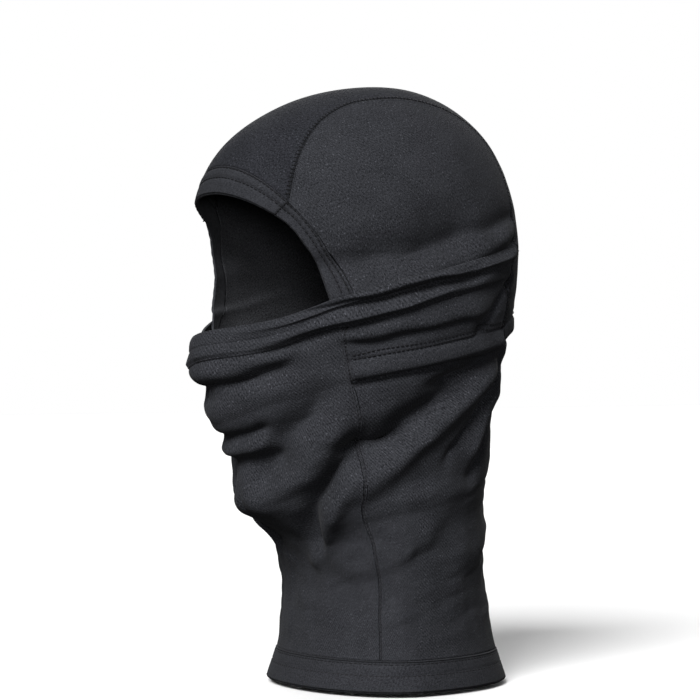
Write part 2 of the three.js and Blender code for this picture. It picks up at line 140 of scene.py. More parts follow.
# Gusset of the hood
# One panel of black heathered jersey runs from the forehead over the crown and down the
# nape. It is 1.5 mm thick and joined flat to the two side panels. Lengths are in mm here.
MM = 0.001
HOOD_LENGTH = 346.0
CROWN_DEPTH = 96.0
HALF_WIDTH, FRONT_DEPTH, BACK_DEPTH = 78.0, 100.0, 99.0
APEX_SETBACK, SETBACK_POWER = 10.0, 1.44
BROW_HEIGHT, BROW_LEVEL, BROW_SPREAD = 5.5, 0.62, 0.21
NOSE_HEIGHT, NOSE_SPREAD = 17.0, 19.0
FULL_FRONT, FULL_SIDE, FULL_BACK = 2.1, 2.25, 2.13
WALL = 1.5
LOWER_DEPTH = HOOD_LENGTH - CROWN_DEPTH
ARC_SHARE = 1.46  # cloth from the crown to the widest ring, in crown depths
CROWN_ARC = CROWN_DEPTH * ARC_SHARE
MEAN_RADIUS = 0.94  # in half widths, for the length of a degree of turn
DEGREE = math.radians(HALF_WIDTH * MEAN_RADIUS)

SECTIONS = np.array([  # level, half width, front, back, nose
    (1.0, 1.0, 1.0, 1.0, 0.0),
    (1.116, 0.987, 0.96, 0.965, 0.1),
    (1.184, 0.968, 0.93, 0.914, 0.45),
    (1.248, 0.936, 0.915, 0.884, 0.8),
    (1.296, 0.91, 0.905, 0.864, 0.78),
    (1.344, 0.885, 0.885, 0.843, 0.38),
    (1.4, 0.859, 0.84, 0.818, 0.4),
    (1.448, 0.84, 0.78, 0.798, 0.35),
    (1.504, 0.82, 0.71, 0.776, 0.42),
    (1.576, 0.8, 0.65, 0.763, 0.48),
    (1.616, 0.788, 0.56, 0.76, 0.24),
    (1.664, 0.776, 0.43, 0.76, 0.0),
    (1.756, 0.77, 0.34, 0.778, 0.0),
    (1.896, 0.808, 0.36, 0.838, 0.0),
    (2.0, 0.897, 0.44, 0.919, 0.0),
])
HOOD_RIBS = np.array([  # share, face angle and level, crown seam angle and level, centre
    (0.0, 44.5, 0.897, 39.6, 0.849, -0.682),
    (0.06, 45.8, 0.913, 40.9, 0.714, -0.564),
    (0.13, 47.2, 0.93, 44.5, 0.486, -0.4),
    (0.2, 48.8, 0.95, 57.0, 0.346, -0.229),
    (0.27, 50.4, 0.971, 84.0, 0.306, -0.057),
    (0.34, 52.0, 0.996, 112.0, 0.357, 0.114),
    (0.41, 53.8, 1.018, 130.0, 0.471, 0.286),
    (0.48, 56.0, 1.04, 136.5, 0.629, 0.45),
    (0.56, 58.6, 1.068, 137.0, 0.8, 0.621),
    (0.64, 61.0, 1.1, 135.2, 0.929, 0.757),
    (0.72, 62.0, 1.13, 134.0, 1.012, 0.864),
    (0.8, 60.0, 1.16, 133.0, 1.056, 0.971),
    (0.88, 57.8, 1.2, 132.2, 1.114, 1.056),
    (0.94, 59.3, 1.247, 131.7, 1.166, 1.124),
    (1.0, 60.8, 1.294, 131.3, 1.218, 1.188),
])
FOLDS = np.array([
    # from angle, level, to angle, level, sag, height, width above, width below, lean
    # temple, creases fanned out above the band, and folds under and below it beside the ear
    (36, 1.055, 112, 0.965, 0.0, -3.0, 8.0, 6.0, 0.0),
    (56, 1.06, 112, 0.895, 0.0, -4.0, 13.0, 17.0, 0.0),
    (74, 1.03, 142, 0.848, 0.0, -2.4, 4.6, 3.0, 0.0),
    (76, 1.068, 142, 0.888, 0.0, 1.6, 3.6, 4.0, 0.3),
    (92, 1.05, 144, 0.93, 0.0, -2.6, 3.0, 2.4, 0.0),
    (98, 1.062, 145, 0.952, 0.0, 1.0, 2.4, 3.0, 0.3),
    (34, 1.152, 150, 0.964, -0.02, 3.2, 11.0, 3.4, 0.4),
    (36, 1.155, 122, 1.029, 0.0, -3.8, 3.0, 3.2, 0.0),
    (20, 1.248, 86, 1.128, 0.0, -3.4, 3.0, 3.0, 0.0),
    (50, 1.206, 122, 1.122, 0.0, 3.6, 8.5, 3.2, 0.4),
    (58, 1.222, 112, 1.14, 0.0, -2.2, 2.6, 3.4, 0.0),
    (110, 1.2, 136, 1.05, 0.0, -4.0, 3.0, 3.0, 0.0),
    # under the jaw
    (84, 1.312, 146, 1.217, 0.0, -5.4, 4.0, 4.4, 0.0),
    (118, 1.272, 54, 1.502, 0.0, -10.2, 9.6, 5.5, 0.0),
    (48, 1.458, 96, 1.4, 0.0, -4.6, 3.4, 2.6, 0.0),
    (142, 1.2, 48, 1.6, 0.0, 5.4, 6.0, 7.0, 0.2),
    (142, 1.225, 100, 1.5, 0.0, -4.6, 3.0, 3.4, 0.0),
    (144, 1.27, 112, 1.49, 0.0, 3.6, 4.5, 5.0, 0.3),
    (152, 1.33, 114, 1.54, 0.0, -2.6, 4.0, 5.0, 0.0),
    # nose, mouth, chin and throat
    (-22, 1.317, 46, 1.208, 0.0, 4.2, 5.0, 5.0, 0.4),
    (-18, 1.35, 44, 1.254, 0.0, -5.0, 3.8, 4.4, 0.0),
    (-14, 1.384, 46, 1.296, 0.0, 3.4, 7.5, 7.0, 0.5),
    (-18, 1.436, 30, 1.39, 0.04, -5.4, 3.6, 3.6, 0.0),
    (60, 1.292, 4, 1.565, 0.0, -6.5, 8.0, 7.0, 0.0),
    (-14, 1.464, 26, 1.42, 0.0, 3.2, 3.8, 4.4, 0.5),
    (-14, 1.496, 30, 1.46, 0.0, -3.4, 4.6, 5.0, 0.0),
    (-10, 1.585, 68, 1.355, 0.07, 5.8, 8.0, 10.0, 0.4),
    (70, 1.375, 14, 1.715, 0.0, -9.8, 7.0, 5.6, 0.0),
    (74, 1.41, 6, 1.72, 0.06, 6.4, 5.0, 6.0, 0.3),
    # slack of the neck tube
    (70, 1.56, 170, 1.44, 0.06, 2.6, 10.0, 8.0, 0.3),
    (20, 1.72, 110, 1.6, 0.08, 2.4, 10.0, 8.0, 0.3),
    (100, 1.7, 176, 1.6, 0.05, 2.4, 11.0, 9.0, 0.3),
])
FAR_SHIFT, FAR_SHARE = 0.015, 0.65  # of the folds on the far half: levels down, and height
FAR_CHEEK_SMOOTH = 0.65
WANDER_ALONG, WANDER_DOWN = 2.2, 1.6
CREASES = (  # height, length, width, seed
    (0.8, 38, 9, 7), (0.35, 20, 4.2, 8),
)
CREASE_DROP = 0.25
SWELL, SWELL_RATE = 0.5, 5
BOTTOM_HEM = 18.0
BOTTOM_HEM_TOP = 2 - BOTTOM_HEM / LOWER_DEPTH


def eased(x, low, high):
    """0 below low and 1 above high, three s squared less two s cubed between."""
    s = np.clip((x - low) / (high - low), 0, 1)
    return s * s * (3 - 2 * s)


def through(table, column):
    """Monotone cubic through one column of a table, over its first column."""
    keys, values = table[:, 0], table[:, column]
    span = np.diff(keys)
    slope = np.diff(values) / span
    product = slope[:-1] * slope[1:]
    total = slope[:-1] + slope[1:]
    tangent = np.concatenate([
        slope[:1], np.where(product > 0, 2 * product / np.where(total == 0, 1, total), 0), slope[-1:],
    ])

    def value(key):
        i = np.clip(np.searchsorted(keys, key, side="right") - 1, 0, len(span) - 1)
        s, width = (key - keys[i]) / span[i], span[i]
        start = (1 + 2 * s) * (1 - s) ** 2 * values[i] + s * (1 - s) ** 2 * width * tangent[i]
        return start + s * s * (3 - 2 * s) * values[i + 1] + s * s * (s - 1) * width * tangent[i + 1]

    return value


ASKEW = np.array([  # level, degrees that the far half's cloth is turned backwards
    (0.0, 0.0), (0.6, 0.0), (0.7, 3.0), (0.78, 8.0), (0.84, 14.0), (0.88, 13.0), (0.906, 10.5),
    (0.93, 8.5), (0.98, 5.3), (1.034, 1.0), (1.076, -2.0),
    (1.118, -6.5), (1.146, -10.5), (1.18, -12.0), (1.25, -8.0), (1.4, 0.0), (2.0, 0.0),
])
ASKEW_ANGLE, ASKEW_SPREAD = -50, 24
half_at, front_at, back_at, nose_at = (through(SECTIONS, k) for k in range(1, 5))
askew = through(ASKEW, 1)


def place_at(angle, level):
    """A place on the hood spread flat round the crown: level along the direction of angle."""
    turn = np.radians(angle)
    return np.stack(np.broadcast_arrays(level * np.sin(turn), -level * np.cos(turn)), -1)


def angle_of(place):
    """Degrees from the front, positive on the hood's left."""
    return np.degrees(np.arctan2(place[..., 0], -place[..., 1]))


def level_of(place):
    """0 at the crown, 1 at the widest ring, 2 at the bottom edge."""
    return np.hypot(place[..., 0], place[..., 1])


def arc_of(level):
    """Length of cloth from the crown down to a level, in mm."""
    return np.where(level < 1, level * CROWN_ARC, CROWN_ARC + (level - 1) * LOWER_DEPTH)


def head_form(place):
    """Superellipse arcs from the crown to the widest ring, whose power blends front, side
    and back by the squares of sine and cosine, then the sections; brow and nose are bells.
    The far half is worn a little askew: its cloth is turned by ASKEW beside the opening."""
    level = level_of(place)
    turn = np.arctan2(place[..., 0], -place[..., 1])
    beside = np.exp(-(((np.degrees(turn) - ASKEW_ANGLE) / ASKEW_SPREAD) ** 2))
    turn = turn - np.radians(askew(level)) * beside * eased(-np.degrees(turn), 0, 12)
    sine, cosine = np.sin(turn), np.cos(turn)
    lengthways = np.where(cosine > 0, FULL_FRONT, FULL_BACK)
    power = 2 / (FULL_SIDE * sine**2 + lengthways * cosine**2)
    climb = np.minimum(level, 1) * np.pi / 2
    ring = np.where(level < 1, np.sin(climb) ** power, 1)
    share = np.where(level < 1, 1 - np.maximum(np.cos(climb), 0) ** power, 1)
    lower = np.maximum(level, 1)
    depth = np.where(cosine > 0, FRONT_DEPTH * front_at(lower), BACK_DEPTH * back_at(lower))
    swell = BROW_HEIGHT * np.exp(-((level - BROW_LEVEL) / BROW_SPREAD) ** 2) * np.maximum(cosine, 0) ** 2
    nose = NOSE_HEIGHT * nose_at(lower) * np.exp(-((np.degrees(turn) / NOSE_SPREAD) ** 2))
    return np.stack([
        HALF_WIDTH * half_at(lower) * ring * sine,
        APEX_SETBACK * (1 - ring**SETBACK_POWER) - depth * ring * cosine - swell - nose,
        -share * CROWN_DEPTH - (lower - 1) * LOWER_DEPTH,
    ], -1)


def normal_of(surface, place, step=0.003):
    """Outward normal: the cross product of two central differences over the flat places."""
    x, y = np.array((step, 0)), np.array((0, step))
    normal = np.cross(surface(place + x) - surface(place - x), surface(place + y) - surface(place - y))
    return normal / np.linalg.norm(normal, axis=-1, keepdims=True)


def soft_noise(x, y, seed):
    """Values on a seeded lattice of whole numbers, blended between with eased weights."""
    lattice = np.random.default_rng(seed).uniform(-1, 1, (64, 64))
    i, j = np.floor(x).astype(int), np.floor(y).astype(int)
    s, t = eased(x - i, 0, 1), eased(y - j, 0, 1)
    corner = [[lattice[(i + a) % 64, (j + b) % 64] for b in (0, 1)] for a in (0, 1)]
    near = corner[0][0] * (1 - t) + corner[0][1] * t
    far = corner[1][0] * (1 - t) + corner[1][1] * t
    return near * (1 - s) + far * s


def folds_at(place):
    """Height of the cloth over the bare form and its lean downwards, both in mm. Each row of
    FOLDS is a bell across a sagging line, with its own width above and below, faded over a
    fifth at either end. CREASES and SWELL add soft noise."""
    angle, level = angle_of(place), level_of(place)
    side = np.abs(angle)
    far = np.where(angle < 0, eased(side, 0, 25), 0)
    run = side * DEGREE
    down = arc_of(level - far * FAR_SHIFT)
    run = run + WANDER_ALONG * soft_noise(run / 17 + 9 * far, down / 15, 3)
    down = down + WANDER_DOWN * soft_noise(run / 19, down / 13 + 5 * far, 4)
    height, lean = np.zeros_like(run), np.zeros_like(run)
    for angle_a, level_a, angle_b, level_b, sag, lift, above, below, tilt in FOLDS:
        start = np.array((angle_a * DEGREE, float(arc_of(level_a))))
        chord = np.array((angle_b * DEGREE, float(arc_of(level_b)))) - start
        span = np.hypot(*chord)
        share = ((run - start[0]) * chord[0] + (down - start[1]) * chord[1]) / span**2
        across = ((down - start[1]) * chord[0] - (run - start[0]) * chord[1]) / span * np.sign(chord[0])
        across = across - 4 * sag * span * share * (1 - share)
        bell = np.exp(-((across / np.where(across < 0, above, below)) ** 2))
        bell = bell * eased(share, 0, 0.22) * eased(1 - share, 0, 0.22) * lift
        height += bell
        lean += bell * tilt
    # The crown and the bottom hem are calm, and the far half is calmer than the near one.
    calm = eased(level, 0.55, 0.8) * (1 - eased(level, 1.84, BOTTOM_HEM_TOP)) * (1 - far * (1 - FAR_SHARE))
    calm = calm * (1 - FAR_CHEEK_SMOOTH * eased(-angle, 26, 44) * (1 - eased(level, 1.2, 1.28)))
    slack = 0.25 + 0.75 * eased(level, 1.02, 1.3)
    grain = down + CREASE_DROP * run
    creases = sum(lift * soft_noise(run / long, grain / wide, seed) for lift, long, wide, seed in CREASES)
    height = calm * (height + slack * creases)
    swell = SWELL * soft_noise(place[..., 0] * SWELL_RATE, place[..., 1] * SWELL_RATE, 11)
    return height + swell * (1 - eased(level, 1.84, BOTTOM_HEM_TOP)), calm * lean


def cloth_form(place):
    """The head form with its folds: each place slides down by the lean, then rises along
    the form's normal by the height."""
    height, lean = folds_at(place)
    level = level_of(place)
    slid = place * (1 + lean / LOWER_DEPTH / np.maximum(level, 0.05))[..., None]
    return head_form(slid) + normal_of(head_form, slid) * height[..., None]


def edge_runs(place):
    """Distance in mm of each grid place from the grid's first row, last row, first column
    and last column, added up along the grid over the bare form."""
    points = head_form(place)
    rows = np.linalg.norm(np.diff(points, axis=0), axis=-1)
    columns = np.linalg.norm(np.diff(points, axis=1), axis=-1)
    down = np.concatenate([np.zeros((1, place.shape[1])), np.cumsum(rows, 0)])
    along = np.concatenate([np.zeros((place.shape[0], 1)), np.cumsum(columns, 1)], 1)
    return down, down[-1:] - down, along, along[:, -1:] - along


def steps(count, rim=(0.0015, 0.005, 0.011)):
    """Even shares from 0 to 1 with three more close to either end, for a rounded edge."""
    rim = np.array(rim)
    return np.concatenate([[0], rim, np.linspace(0, 1, count + 1)[1:-1], 1 - rim[::-1], [1]])


RIM_START = 0.03  # keeps a quarter of the wall at a cloth's very border


def sewn_sheet(name, place, inner, outer, uv, close=1.0, form=cloth_form):
    """A closed cloth over a grid of places: one grid at the outer height, one at the inner,
    joined round the border. Near the border the wall thins along a quarter circle, which is
    narrower where the first and last columns are closely sewn. Heights are along the normal
    of a form. The inner face has the second material."""
    down, up, along, back = edge_runs(place)
    edge = np.minimum.reduce((down, up, along * close, back * close))
    half = (outer - inner) / 2
    round_off = np.sqrt(1 - (1 - np.clip(edge / half, RIM_START, 1)) ** 2)
    base, normal = cloth_form(place), normal_of(form, place)
    middle = (outer + inner) / 2
    skins = [base + normal * (middle + side * half * round_off)[..., None] for side in (1, -1)]
    rows, columns = place.shape[:2]
    count = rows * columns
    index = np.arange(count).reshape(rows, columns)
    quads = np.stack([index[:-1, :-1], index[:-1, 1:], index[1:, 1:], index[1:, :-1]], -1).reshape(-1, 4)
    border = np.concatenate([index[0, :-1], index[:-1, -1], index[-1, :0:-1], index[:0:-1, 0]])
    after = np.roll(border, -1)
    rim = np.stack([after, border, border + count, after + count], -1)
    faces = np.concatenate([quads, quads[:, ::-1] + count, rim])
    points = np.concatenate([skin.reshape(-1, 3) for skin in skins])
    corner = points[faces[: len(quads)]]
    facing = np.cross(corner[:, 1] - corner[:, 0], corner[:, 2] - corner[:, 1])
    if (facing * normal[:-1, :-1].reshape(-1, 3)).sum() < 0:
        faces = faces[:, ::-1]
    piece = mesh_piece(name, points, faces, np.concatenate([uv.reshape(-1, 2)] * 2))
    inside = np.arange(len(faces)) // len(quads) == 1
    piece.data.polygons.foreach_set("material_index", inside.astype(np.int32))
    return piece


def mesh_piece(name, points, faces, uv=None):
    """A smooth-shaded object from points in mm, with its place in its mesh."""
    mesh = bpy.data.meshes.new(name)
    mesh.from_pydata((points * MM).tolist(), [], faces.tolist())
    mesh.polygons.foreach_set("use_smooth", np.ones(len(faces), bool))
    if uv is not None:
        layer = mesh.uv_layers.new(name="cloth")
        layer.data.foreach_set("uv", (uv[faces.ravel()] * MM).astype(np.float32).ravel())
    mesh.update()
    piece = bpy.data.objects.new(name, mesh)
    bpy.context.scene.collection.objects.link(piece)
    return piece


def cut_uv(place, middle):
    """Cloth coordinates in mm: turned distance from a middle angle, and length from the crown."""
    level = level_of(place)
    turned = (angle_of(place) - middle + 180) % 360 - 180
    return np.stack([turned * DEGREE * np.sin(np.minimum(level, 1) * np.pi / 2), arc_of(level)], -1)


class Wire:
    """One output of a shader node; arithmetic on it adds Math nodes."""

    def __init__(self, socket):
        self.socket = socket

    def _math(self, operation, first, second=0.0):
        node = self.socket.node.id_data.nodes.new("ShaderNodeMath")
        node.operation = operation
        for entry, value in zip(node.inputs, (first, second)):
            if isinstance(value, Wire):
                node.id_data.links.new(value.socket, entry)
            else:
                entry.default_value = value
        return Wire(node.outputs[0])

    def __add__(self, other): return self._math("ADD", self, other)
    def __radd__(self, other): return self._math("ADD", other, self)
    def __sub__(self, other): return self._math("SUBTRACT", self, other)
    def __rsub__(self, other): return self._math("SUBTRACT", other, self)
    def __mul__(self, other): return self._math("MULTIPLY", self, other)
    def __rmul__(self, other): return self._math("MULTIPLY", other, self)
    def sine(self): return self._math("SINE", self)


class Finish:
    """A material under construction, with one method that adds any node."""

    def __init__(self, name):
        self.material = bpy.data.materials.new(name)
        self.material.use_nodes = True
        self.tree = self.material.node_tree
        self.tree.nodes.clear()

    def node(self, kind, settings=None, output=0, **sockets):
        node = self.tree.nodes.new("ShaderNode" + kind)
        for key, value in (settings or {}).items():
            if key == "stops":
                for stop, (position, color) in zip(node.color_ramp.elements, value):
                    stop.position, stop.color = position, color
            else:
                setattr(node, key, value)
        for key, value in sockets.items():
            entry = node.inputs[int(key[1:]) if key[0] == "_" else key.replace("_", " ")]
            if isinstance(value, Wire):
                self.tree.links.new(value.socket, entry)
            else:
                entry.default_value = value
        return Wire(node.outputs[output]) if len(node.outputs) else None


def jersey(name, dark, light, fleck=0.42, twill=0.05):
    """Heathered jersey. Lighter fibres lie in short strokes that lean a little from the wales,
    and fine diagonal lines cross them every 1.45 mm. Both stand up a little as bump."""
    finish = Finish(name)
    uv = finish.node("TexCoord", output=2)
    lean, width, length = -0.42, 0.00055, 0.0012
    speck_size, grain_size = (0.0007, 0.0010, 1), (0.00036, 0.0005, 1)
    line_across, line_down = 0.00195, 0.00217
    along = {"vector_type": "TEXTURE"}
    strokes_at = finish.node("Mapping", along, Vector=uv, Rotation=(0, 0, lean), Scale=(width, length, 1))
    strokes = finish.node("TexNoise", Vector=strokes_at, Scale=1.0, Detail=2.5, Roughness=0.62)
    cross_at = finish.node("Mapping", along, Vector=uv, Rotation=(0, 0, 0.3), Scale=(width, 1.6 * width, 1))
    cross = finish.node("TexNoise", Vector=cross_at, Scale=1.0, Detail=1.0, Roughness=0.5)
    blotch = finish.node("TexNoise", Vector=uv, Scale=70.0, Detail=3.0, Roughness=0.6)
    speck_at = finish.node("Mapping", along, Vector=uv, Rotation=(0, 0, lean), Scale=speck_size)
    speck = finish.node("TexNoise", Vector=speck_at, Scale=1.0, Detail=0.0)
    across = finish.node("SeparateXYZ", Vector=uv)
    down = Wire(across.socket.node.outputs[1])
    phase = across * (2 * math.pi / line_across) - down * (2 * math.pi / line_down)
    lines = (phase + cross * 3.0).sine()
    grain_at = finish.node("Mapping", along, Vector=uv, Rotation=(0, 0, lean), Scale=grain_size)
    grain = finish.node("TexNoise", Vector=grain_at, Scale=1.0, Detail=1.0, Roughness=0.5)
    heather = (
        0.5 + (strokes - 0.5) * 1.8 + (grain - 0.5) * 1.5 + (cross - 0.5) * 0.5 + lines * twill
        + (blotch - 0.5) * 0.4
    )
    shade = finish.node("ValToRGB", {"stops": [(0.05, (*dark, 1)), (0.95, (*light, 1))]}, Fac=heather)
    bright = finish.node("ValToRGB", {"stops": [(0.7, (0, 0, 0, 1)), (0.82, (1, 1, 1, 1))]}, Fac=speck)
    fibre = tuple(min(1.0, 3.0 * value) for value in light)
    mixing = {"data_type": "RGBA"}
    flecked = finish.node("Mix", mixing, output=2, _0=bright * fleck, _6=shade, _7=(*fibre, 1))
    relief = strokes * 0.7 + cross * 0.25 + lines * (0.5 * twill)
    bump = finish.node("Bump", Strength=0.5, Distance=0.0004, Height=relief)
    surface = finish.node(
        "BsdfPrincipled", Base_Color=flecked, Roughness=0.8 + strokes * 0.2, Normal=bump,
        Specular_IOR_Level=0.06, Sheen_Weight=0.02, Sheen_Roughness=0.5,
    )
    finish.node("OutputMaterial", Surface=surface)
    return finish.material


HOOD_DARK, HOOD_LIGHT = (0.0053, 0.0056, 0.0067), (0.0352, 0.0365, 0.0422)
hood_jersey = jersey("hood_jersey", HOOD_DARK, HOOD_LIGHT)
# Painted shade: the gusset over the crown takes a darker copy of the hood's jersey, so the top reads darker
# than the sides.
GUSSET_SHADED_DARK, GUSSET_SHADED_LIGHT = (0.004, 0.0043, 0.0054), (0.0248, 0.026, 0.0312)
gusset_shaded_jersey = jersey("gusset_shaded_jersey", GUSSET_SHADED_DARK, GUSSET_SHADED_LIGHT)
face_angle, face_level, seam_angle, seam_level, centre_level = (through(HOOD_RIBS, k) for k in range(1, 6))
JAW_TURN, JAW_HEM = 0.8, 13.0  # added thickness of the turned edge, and its width
JAW_ROLL, JAW_INSIDE = 3.2, 0.85  # the inner face follows a share of the roll
JAW_ROWS, JAW_GROOVES = (11.6, 13.8), (1.3, 0.5)
SEAM_PRESS, SEAM_REACH = 0.3, 2.6  # height and width of the step beside a flat seam
OPEN_SEAM = 0.6  # how closely the hood's seams are sewn, so that a groove shows


def across_line(seam, centre, w):
    """From the left seam over the centre line to the right: x is w times the seam's, and y
    runs from the centre's to the seam's with the square of w."""
    return np.stack([seam[..., 0] * w, centre + (seam[..., 1] - centre) * w * w], -1)


def seam_relief(run):
    """The seam allowance under a flat seam lifts the cloth to a small step beside it."""
    return SEAM_PRESS * (1 - eased(run, SEAM_REACH - 0.5, SEAM_REACH + 0.5))


def jaw_relief(bottom):
    """Heights that the turned lower edge adds to the inner and the outer face. Below its two
    stitch rows it puffs out in a roll, a sine over a power of the distance from the edge, and
    each row presses a bell-shaped groove, the lower one more."""
    rows = sum(depth * np.exp(-((bottom - at) / 0.9) ** 2) for at, depth in zip(JAW_ROWS, JAW_GROOVES))
    roll = JAW_ROLL * np.sin(np.clip(bottom / (JAW_HEM - 1.6), 0, 1) ** 0.62 * np.pi) ** 1.3
    turned = 1 - eased(bottom, JAW_HEM - 0.6, JAW_HEM + 1.6)
    return JAW_INSIDE * roll, JAW_TURN * turned + roll - rows


GUSSET_ACROSS, GUSSET_DOWN = 75, 118  # cloth to one level, for the knit
GUSSET_INNER = 0.4  # share of the jaw's inner roll that it takes up
share = steps(250, (0.0004, 0.0012, 0.0025))[:, None]
w = 1 - 2 * steps(116, (0.002, 0.006, 0.012))[None, :]
seam = place_at(seam_angle(share), seam_level(share))
gusset_place = across_line(seam, centre_level(share), w)
top, bottom, start, end = edge_runs(gusset_place)
inner_roll, outer_roll = jaw_relief(bottom)
gusset_under = GUSSET_INNER * inner_roll
gusset_height = WALL + seam_relief(start) + seam_relief(end) + outer_roll - inner_roll + gusset_under
gusset_uv = gusset_place * np.array((GUSSET_ACROSS, GUSSET_DOWN))
gusset = sewn_sheet("gusset", gusset_place, gusset_under, gusset_height, gusset_uv, OPEN_SEAM)
# Partly the brushed back's own tone, partly painted light: the inside faces are about twice as light as the
# outside, lifting the shade inside the hood.
INSIDE_DARK_LIT, INSIDE_LIGHT_LIT = (0.012, 0.0123, 0.0142), (0.066, 0.068, 0.0745)
brushed_inside_lit = jersey("brushed_inside_lit", INSIDE_DARK_LIT, INSIDE_LIGHT_LIT, fleck=0.25)
gusset.data.materials.append(gusset_shaded_jersey)
gusset.data.materials.append(brushed_inside_lit)
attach(gusset, "root")
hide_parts("centre_panel")

# Side panels of the hood
# The same jersey, one panel over each ear, from the crown seam down to a turned and
# double-stitched edge along the jaw. The cloth gathers in soft folds towards the back seam.
side_share = steps(240, (0.0006, 0.0018, 0.004))[:, None]
side_w = steps(150, (0.0012, 0.004, 0.009))[None, :]


def side_place(share, w):
    """Ribs from the face opening to the crown seam, straight in angle and level."""
    angle = face_angle(share) * (1 - w) + seam_angle(share) * w
    return place_at(angle, face_level(share) * (1 - w) + seam_level(share) * w)


for word, sign in (("left", 1), ("right", -1)):
    place = side_place(side_share, side_w) * np.array((sign, 1))
    top, bottom, start, end = edge_runs(place)
    inner_roll, outer_roll = jaw_relief(bottom)
    height = WALL + seam_relief(end) + outer_roll
    panel = sewn_sheet(f"hood_side_{word}", place, inner_roll, height, cut_uv(place, 90 * sign), OPEN_SEAM)
    panel.data.materials.append(hood_jersey)
    panel.data.materials.append(brushed_inside_lit)
    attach(panel, "root")
    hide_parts(f"side_panel_{word}")

# Hem of the face opening
# The hood's front edge is turned in, held by two rows of stitching and 2.4 mm thick. It ends
# behind the mask's band on either side. The layer turned in is painted lighter, as painted light.
FACE_EDGE = np.array([  # share, angle, level
    (0.0, 38.5, 0.918), (0.13, 42.0, 0.95), (0.27, 45.3, 0.989), (0.41, 48.3, 1.02),
    (0.56, 51.0, 1.066), (0.72, 53.6, 1.12), (0.8, 54.4, 1.156), (0.9, 52.6, 1.212),
])
BROW_CORNER, BROW_CENTRE = (34.5, 0.893), -0.8
HEM_END, FAR_HEM_END = 0.78, 0.87  # share of the way down the cheeks
HEM_INNER, HEM_OUTER = -0.45, 1.95
FAR_PRESS, FAR_PRESS_REACH = 1.3, 3.5  # the far cheek's open edge is pressed thinner
HEM_ROWS = (0.07, 0.42)  # shares of the width
HEM_GROOVE, CORNER_GROOVE = 1.0, 0.8  # widths of the grooves under the stitches
edge_angle, edge_level = (through(FACE_EDGE, k) for k in (1, 2))
hem_w = steps(22, (0.008, 0.025, 0.055))[:, None]


def hem_line(border, rim):
    """Places between the hem's sewn border and its open edge, for each step of its width."""
    return border * (1 - hem_w[..., None]) + rim * hem_w[..., None]


def edge_waves(along, up, height, length, reach):
    """Small waves along a hem's open edge, from the distances along it and up from it."""
    return height * np.sin(along / length) * np.exp(-((up / reach) ** 2))


def cheek_line(lower_end):
    """The hem up one cheek, from its lower end to the forehead corner."""
    share = np.linspace(lower_end, 0, 150)[None, :-1]
    border = place_at(face_angle(share), face_level(share))
    return hem_line(border, place_at(edge_angle(share), edge_level(share)))


brow_w = np.linspace(1, -1, 170)[None, :]
first = np.zeros((1, 1))
brow = hem_line(
    across_line(place_at(seam_angle(first), seam_level(first)), centre_level(first), brow_w),
    across_line(place_at(BROW_CORNER[0] + first, BROW_CORNER[1]), BROW_CENTRE, brow_w),
)
far_cheek = (cheek_line(FAR_HEM_END) * np.array((-1, 1)))[:, ::-1]
hem_place = np.concatenate([cheek_line(HEM_END), brow, far_cheek], 1)
top, bottom, start, end = edge_runs(hem_place)
width = top + bottom
hem_grooves = sum(np.exp(-(((top - at * width) / HEM_GROOVE) ** 2)) for at in HEM_ROWS)
corners = (far_cheek.shape[1], far_cheek.shape[1] + brow.shape[1] - 1)
hem_grooves = hem_grooves + sum(
    np.exp(-(((start - start[:, [at]]) / CORNER_GROOVE) ** 2)) for at in corners
)
hem_height = HEM_OUTER - hem_grooves + edge_waves(start, bottom, 0.12, 0.9, 3)
far_edge = eased(-angle_of(hem_place), 18, 34) * np.exp(-((bottom / FAR_PRESS_REACH) ** 2))
hem_height = hem_height - FAR_PRESS * far_edge
hem_uv = np.stack([top, start], -1)
hem_under = np.full_like(hem_height, HEM_INNER)
face_hem = sewn_sheet("face_opening_hem", hem_place, hem_under, hem_height, hem_uv)
hem_jersey = jersey("hem_jersey", HOOD_DARK, HOOD_LIGHT, fleck=0.2)
# Painted light: the turned-in layer is the same jersey in a lighter copy, lifting the shade where it faces
# the inside.
TURNED_LIT_DARK, TURNED_LIT_LIGHT = (0.01, 0.0104, 0.012), (0.054, 0.056, 0.062)
turned_lit_jersey = jersey("turned_lit_jersey", TURNED_LIT_DARK, TURNED_LIT_LIGHT, fleck=0.2)
face_hem.data.materials.append(hem_jersey)
face_hem.data.materials.append(turned_lit_jersey)
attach(face_hem, "root")
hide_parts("face_hem")

# Band of the mask
# The mask's jersey, with its fine diagonal lines, is folded over along the top. It lies flat
# over the nose, and beside the cheeks it gathers in two rolls that run to the crown seam.
BAND = np.array([  # angle, top, bottom, roll
    (-132, 0.984, 1.056, 0.4), (-115, 1.014, 1.092, 0.6), (-100, 1.044, 1.122, 0.8),
    (-90, 1.069, 1.149, 0.95), (-78, 1.098, 1.18, 1.0), (-64, 1.138, 1.213, 0.9),
    (-54, 1.166, 1.235, 0.5), (-44, 1.186, 1.25, 0.15), (-30, 1.198, 1.262, 0.0),
    (-14, 1.202, 1.264, 0.0), (0, 1.188, 1.252, 0.0), (16, 1.173, 1.238, 0.05),
    (36, 1.15, 1.212, 0.3), (48, 1.124, 1.189, 0.7), (54, 1.108, 1.178, 0.9),
    (64, 1.088, 1.164, 1.0), (78, 1.06, 1.144, 1.0), (90, 1.042, 1.12, 0.95),
    (100, 1.026, 1.102, 0.8), (115, 1.002, 1.08, 0.6), (132, 0.98, 1.052, 0.4),
])
BAND_REACH = 132.0
BAND_BASE, BAND_LOW = 2.45, 1.65  # height of its inner face over the form, free and tucked in
BAND_ROLL = 3.6
BAND_CLOTH = 18
band_top, band_bottom, band_roll = (through(BAND, k) for k in (1, 2, 3))
